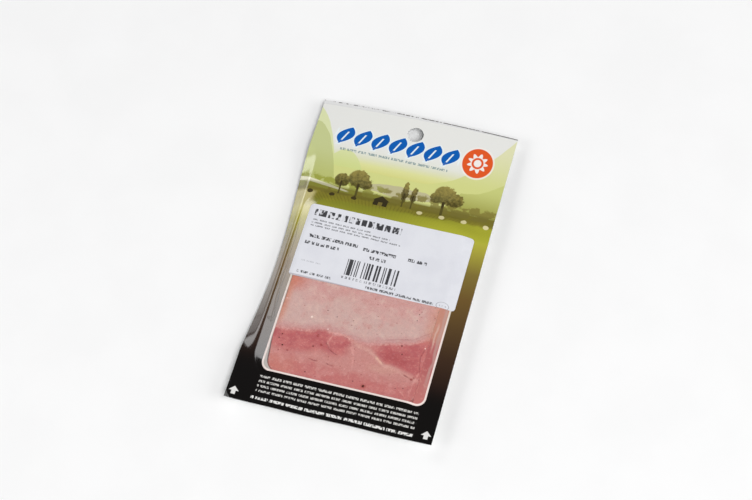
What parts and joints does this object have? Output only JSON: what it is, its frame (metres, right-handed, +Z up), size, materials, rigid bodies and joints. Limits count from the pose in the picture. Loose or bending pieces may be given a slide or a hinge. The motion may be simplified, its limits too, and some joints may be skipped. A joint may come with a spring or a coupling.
{
  "type": "pack of sliced pepper ham",
  "caption": "Flat clear tray pack of square-cut pink ham slices under a sealed printed top film with a window, a paper label and a round hang hole.",
  "frame": {"origin": "middle of the pack's outline, on the surface that the pack lies on", "axes": "+Y from the foot of the pack to the hang hole, +Z up out of the printed side, +X to the right as the print is seen"},
  "size_m": [0.1216, 0.2074, 0.0102],
  "materials": {
    "clear_tray": "clear formed plastic sheet, glossy",
    "ham": "moist pink cooked ham with paler fat and a few specks of pepper",
    "printed_film": "thin glossy film, printed in pale grey, yellow green, olive and near black, with a clear window",
    "label_paper": "white self-adhesive paper, printed in black"
  },
  "bodies": {
    "root": {"tray": "clear_tray", "ham_slice_1": "ham", "ham_slice_2": "ham", "ham_slice_3": "ham", "ham_slice_4": "ham", "ham_slice_5": "ham", "ham_slice_6": "ham", "ham_slice_7": "ham", "top_film": "printed_film", "label": "label_paper"}
  },
  "joints": []
}
